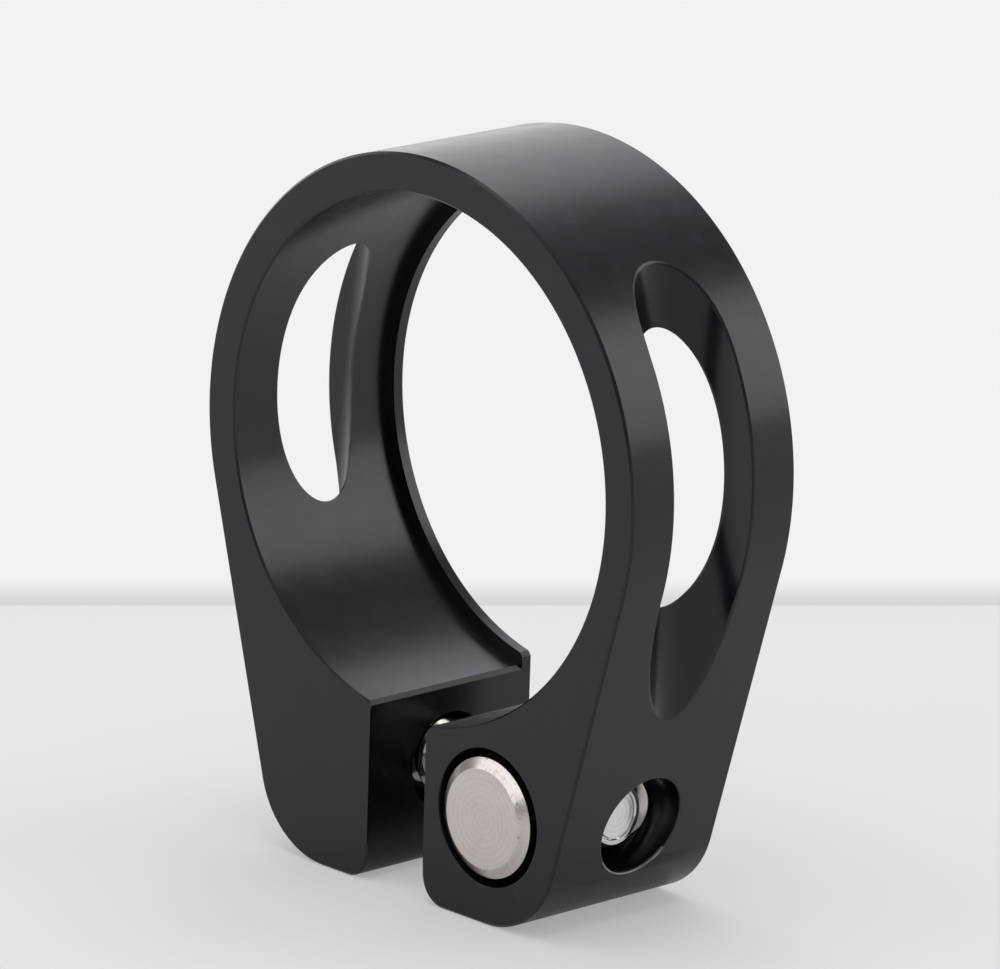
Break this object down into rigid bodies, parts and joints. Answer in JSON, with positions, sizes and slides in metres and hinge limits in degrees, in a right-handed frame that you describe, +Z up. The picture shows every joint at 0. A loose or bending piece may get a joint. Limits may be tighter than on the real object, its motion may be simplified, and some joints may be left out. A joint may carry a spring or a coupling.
{
  "type": "seatpost clamp",
  "caption": "Split aluminium collar with a lipped bore and slotted sides, closed around a seat tube by a socket screw that pulls on a barrel nut.",
  "frame": {"origin": "on the bore's axis, midway along the collar's width", "axes": "+Y along the bore towards the lip, +Z up and away from the lugs, +X towards the lug that holds the barrel nut"},
  "size_m": [0.04, 0.0154, 0.0494],
  "materials": {
    "black_anodised": "satin black anodised",
    "plain_steel": "turned, bright zinc"
  },
  "bodies": {
    "collar": {"clamp_collar": "black_anodised"},
    "nut": {"barrel_nut": "plain_steel"},
    "washer": {"bolt_washer": "plain_steel"},
    "screw": {"clamp_bolt": "plain_steel"}
  },
  "joints": [
    {"name": "barrel_pivot", "type": "hinge", "parent": "collar", "child": "nut", "pos_m": [0.00775, 0, -0.0222], "axis": [0, 1, 0], "range_deg": [-1.5, 1.5]},
    {"name": "screw_travel", "type": "slide", "parent": "nut", "child": "washer", "axis": [-1, 0, 0], "range_m": [0, 0.0072]},
    {"name": "screw_turn", "type": "hinge", "parent": "washer", "child": "screw", "pos_m": [0, 0, -0.0222], "axis": [-1, 0, 0], "range_deg": [0, 3240]}
  ],
  "couplings": [
    {"joint": "screw_turn", "follows": "screw_travel", "rad_per_m": 7854}
  ]
}
